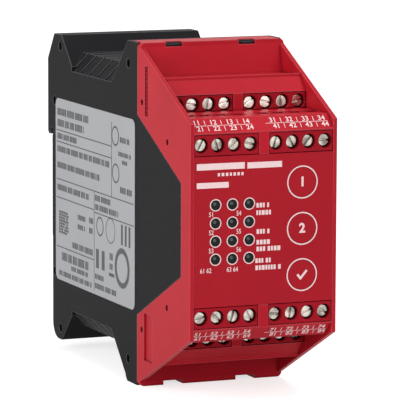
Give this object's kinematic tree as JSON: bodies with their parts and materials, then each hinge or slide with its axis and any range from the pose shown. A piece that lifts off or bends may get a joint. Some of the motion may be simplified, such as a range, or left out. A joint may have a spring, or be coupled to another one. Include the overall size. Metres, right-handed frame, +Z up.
{
  "type": "safety relay",
  "caption": "Rail-mounted safety relay module: black housing with a stepped red front cover, screw terminals above and below, keys and signal lamps.",
  "frame": {"origin": "middle of the rail seat, on the flat rear face that a 35 mm rail's flanges press against", "axes": "+Y from the front panel towards the rail, +Z up as mounted, +X to the right of the front panel"},
  "size_m": [0.0447, 0.1138, 0.0992],
  "materials": {
    "black_housing": "fine spark-eroded texture",
    "latch_black": "fine texture",
    "red_cover": "satin moulded",
    "red_foil": "satin printed film",
    "red_key": "satin printed film",
    "label_paper": "matt film label",
    "terminal_red": "satin moulded",
    "nickel_steel": "nickel plated",
    "zinc_steel": "zinc plated",
    "tinned_brass": "tinned",
    "smoked_guide": "dark tinted clear moulding",
    "led_resin": "cast resin",
    "switch_plastic": "moulded",
    "circuit_board": "solder mask",
    "relay_plastic": "moulded",
    "chip_resin": "moulded epoxy",
    "capacitor_can": "sleeved can",
    "ferrite": "sintered",
    "converter_resin": "potted case",
    "connector_plastic": "moulded",
    "spring_steel": "drawn wire"
  },
  "bodies": {
    "module": {"dc_converter": "converter_resin", "electrolytic_capacitors": "capacitor_can", "front_board": "circuit_board", "front_cover": "red_cover", "front_foil": "red_foil", "indicator_leds": "led_resin", "input_optocouplers": "chip_resin", "key_switches": "switch_plastic", "latch_spring": "spring_steel", "left_board_connector": "connector_plastic", "left_main_board": "circuit_board", "light_guide": "smoked_guide", "lower_board_connector": "connector_plastic", "lower_front_clamp_cages": "zinc_steel", "lower_front_contact_pins": "tinned_brass", "lower_front_left_terminal_block": "terminal_red", "lower_front_left_terminal_screws": "nickel_steel", "lower_front_right_terminal_block": "terminal_red", "lower_front_right_terminal_screws": "nickel_steel", "lower_rear_clamp_cages": "zinc_steel", "lower_rear_contact_pins": "tinned_brass", "lower_rear_left_terminal_block": "terminal_red", "lower_rear_left_terminal_screws": "nickel_steel", "lower_rear_right_terminal_block": "terminal_red", "lower_rear_right_terminal_screws": "nickel_steel", "power_inductor": "ferrite", "processor_chips": "chip_resin", "rating_label": "label_paper", "rear_housing": "black_housing", "relay_1": "relay_plastic", "relay_2": "relay_plastic", "relay_3": "relay_plastic", "relay_4": "relay_plastic", "right_board_connector": "connector_plastic", "right_main_board": "circuit_board", "terminal_board": "circuit_board", "upper_board_connector": "connector_plastic", "upper_front_clamp_cages": "zinc_steel", "upper_front_contact_pins": "tinned_brass", "upper_front_left_terminal_block": "terminal_red", "upper_front_left_terminal_screws": "nickel_steel", "upper_front_right_terminal_block": "terminal_red", "upper_front_right_terminal_screws": "nickel_steel", "upper_rear_clamp_cages": "zinc_steel", "upper_rear_contact_pins": "tinned_brass", "upper_rear_left_terminal_block": "terminal_red", "upper_rear_left_terminal_screws": "nickel_steel", "upper_rear_right_terminal_block": "terminal_red", "upper_rear_right_terminal_screws": "nickel_steel"},
    "latch": {"din_latch": "latch_black"},
    "upper_button": {"upper_key": "red_key", "upper_switch_plunger": "switch_plastic"},
    "middle_button": {"middle_key": "red_key", "middle_switch_plunger": "switch_plastic"},
    "lower_button": {"lower_key": "red_key", "lower_switch_plunger": "switch_plastic"}
  },
  "joints": [
    {"name": "latch_slide", "type": "slide", "parent": "module", "child": "latch", "axis": [0, 0, -1], "range_m": [0, 0.004], "stiffness_N_per_m": 400, "springref_m": -0.003, "deforming": ["latch_spring"]},
    {"name": "upper_key_press", "type": "slide", "parent": "module", "child": "upper_button", "axis": [0, 1, 0], "range_m": [0, 0.0004], "stiffness_N_per_m": 2000, "springref_m": -0.0002},
    {"name": "middle_key_press", "type": "slide", "parent": "module", "child": "middle_button", "axis": [0, 1, 0], "range_m": [0, 0.0004], "stiffness_N_per_m": 2000, "springref_m": -0.0002},
    {"name": "lower_key_press", "type": "slide", "parent": "module", "child": "lower_button", "axis": [0, 1, 0], "range_m": [0, 0.0004], "stiffness_N_per_m": 2000, "springref_m": -0.0002}
  ]
}
